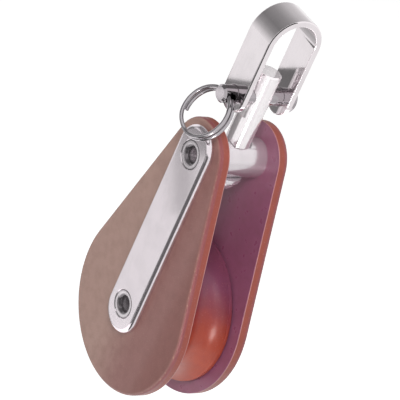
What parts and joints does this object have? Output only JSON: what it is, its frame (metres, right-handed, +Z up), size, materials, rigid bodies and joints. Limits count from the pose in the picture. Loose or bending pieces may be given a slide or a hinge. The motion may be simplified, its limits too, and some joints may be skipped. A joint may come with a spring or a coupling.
{
  "type": "swivel sailing block",
  "caption": "Sailing block with teardrop laminate cheeks, riveted steel straps and a swivelling strip shackle closed by a clevis pin and split ring.",
  "frame": {"origin": "centre of the shackle bow's round inside, where the block hangs from its fitting", "axes": "+Z up along the block's length, +Y along the sheave's axle away from the split ring, +X along the rope's way through the swallow"},
  "size_m": [0.0488, 0.0317, 0.1172],
  "materials": {
    "cheek_laminate": "satin fabric laminate, taupe faces, orange-brown sawn rim, plum inside",
    "sheave_laminate": "turned fabric laminate, satin orange-red",
    "strap_steel": "polished stainless strip with fine lengthwise marks",
    "shackle_steel": "bright polished stainless strip",
    "post_steel": "bright polished stainless bar",
    "turned_steel": "turned stainless with fine rings",
    "ring_steel": "bright spring wire"
  },
  "bodies": {
    "bow": {"shackle": "shackle_steel"},
    "pin": {"clevis_pin": "turned_steel"},
    "ring": {"split_ring": "ring_steel"},
    "post": {"swivel_post": "post_steel", "swivel_washer": "turned_steel"},
    "block": {"cheek_left": "cheek_laminate", "cheek_right": "cheek_laminate", "strap_left": "strap_steel", "strap_right": "strap_steel", "crosshead": "turned_steel", "axle_rivet": "turned_steel", "axle_sleeve": "turned_steel"},
    "wheel": {"sheave": "sheave_laminate"}
  },
  "joints": [
    {"name": "pin_turn", "type": "hinge", "parent": "bow", "child": "pin", "pos_m": [0, 0, -0.017], "axis": [0, 1, 0], "continuous": true},
    {"name": "ring_swing", "type": "hinge", "parent": "pin", "child": "ring", "pos_m": [0, -0.0104, -0.017], "axis": [1, 0, 0], "range_deg": [-120, 11]},
    {"name": "block_swing", "type": "hinge", "parent": "bow", "child": "post", "pos_m": [0, 0, -0.017], "axis": [0, 1, 0], "range_deg": [-100, 100]},
    {"name": "swivel", "type": "hinge", "parent": "post", "child": "block", "pos_m": [0, 0, -0.036], "axis": [0, 0, 1], "continuous": true},
    {"name": "sheave_turn", "type": "hinge", "parent": "block", "child": "wheel", "pos_m": [0, 0, -0.0845], "axis": [0, 1, 0], "continuous": true}
  ]
}
